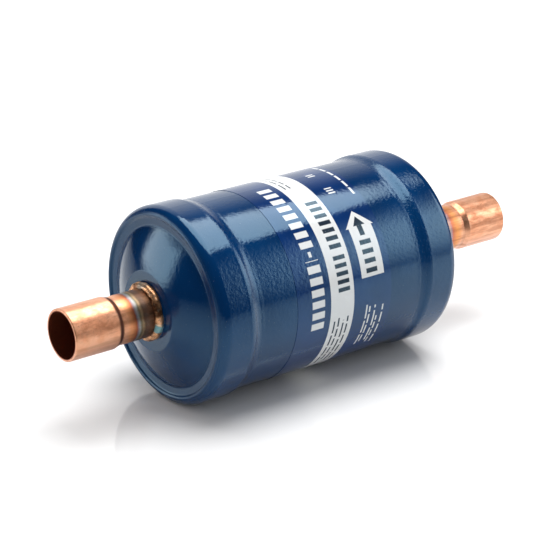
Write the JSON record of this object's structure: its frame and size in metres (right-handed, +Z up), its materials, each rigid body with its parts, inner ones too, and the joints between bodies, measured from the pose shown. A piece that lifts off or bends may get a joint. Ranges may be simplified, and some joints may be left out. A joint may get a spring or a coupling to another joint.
{
  "type": "filter drier",
  "caption": "Inline refrigerant filter drier: painted steel shell with drawn end caps and copper solder sockets.",
  "frame": {"origin": "on the axis, half way between the two mouths", "axes": "+X along the axis from the inlet to the outlet, +Z up"},
  "size_m": [0.1876, 0.0688, 0.0688],
  "materials": {
    "blue_paint": "glossy powder coat on steel",
    "label_film": "printed glossy film",
    "copper": "bright drawn copper, heat tinted at the braze",
    "braze_alloy": "brazing alloy, as cast",
    "spring_steel": "bright wire",
    "plate_steel": "plated sheet",
    "mesh_steel": "woven wire",
    "felt": "pressed fibre",
    "desiccant": "moulded porous block"
  },
  "bodies": {
    "root": {"shell_tube": "blue_paint", "inlet_end_cap": "blue_paint", "outlet_end_cap": "blue_paint", "inlet_cap_weld": "blue_paint", "outlet_cap_weld": "blue_paint", "inlet_copper_fitting": "copper", "outlet_copper_fitting": "copper", "inlet_braze_ring": "braze_alloy", "outlet_braze_ring": "braze_alloy", "label_wrap": "label_film", "core_spring": "spring_steel", "inlet_perforated_plate": "plate_steel", "outlet_perforated_plate": "plate_steel", "inlet_screen": "mesh_steel", "outlet_screen": "mesh_steel", "inlet_felt_pad": "felt", "outlet_felt_pad": "felt", "outlet_fine_pad": "felt", "core_seal_ring": "felt", "desiccant_core": "desiccant", "outlet_stop_ring": "plate_steel"}
  },
  "joints": []
}
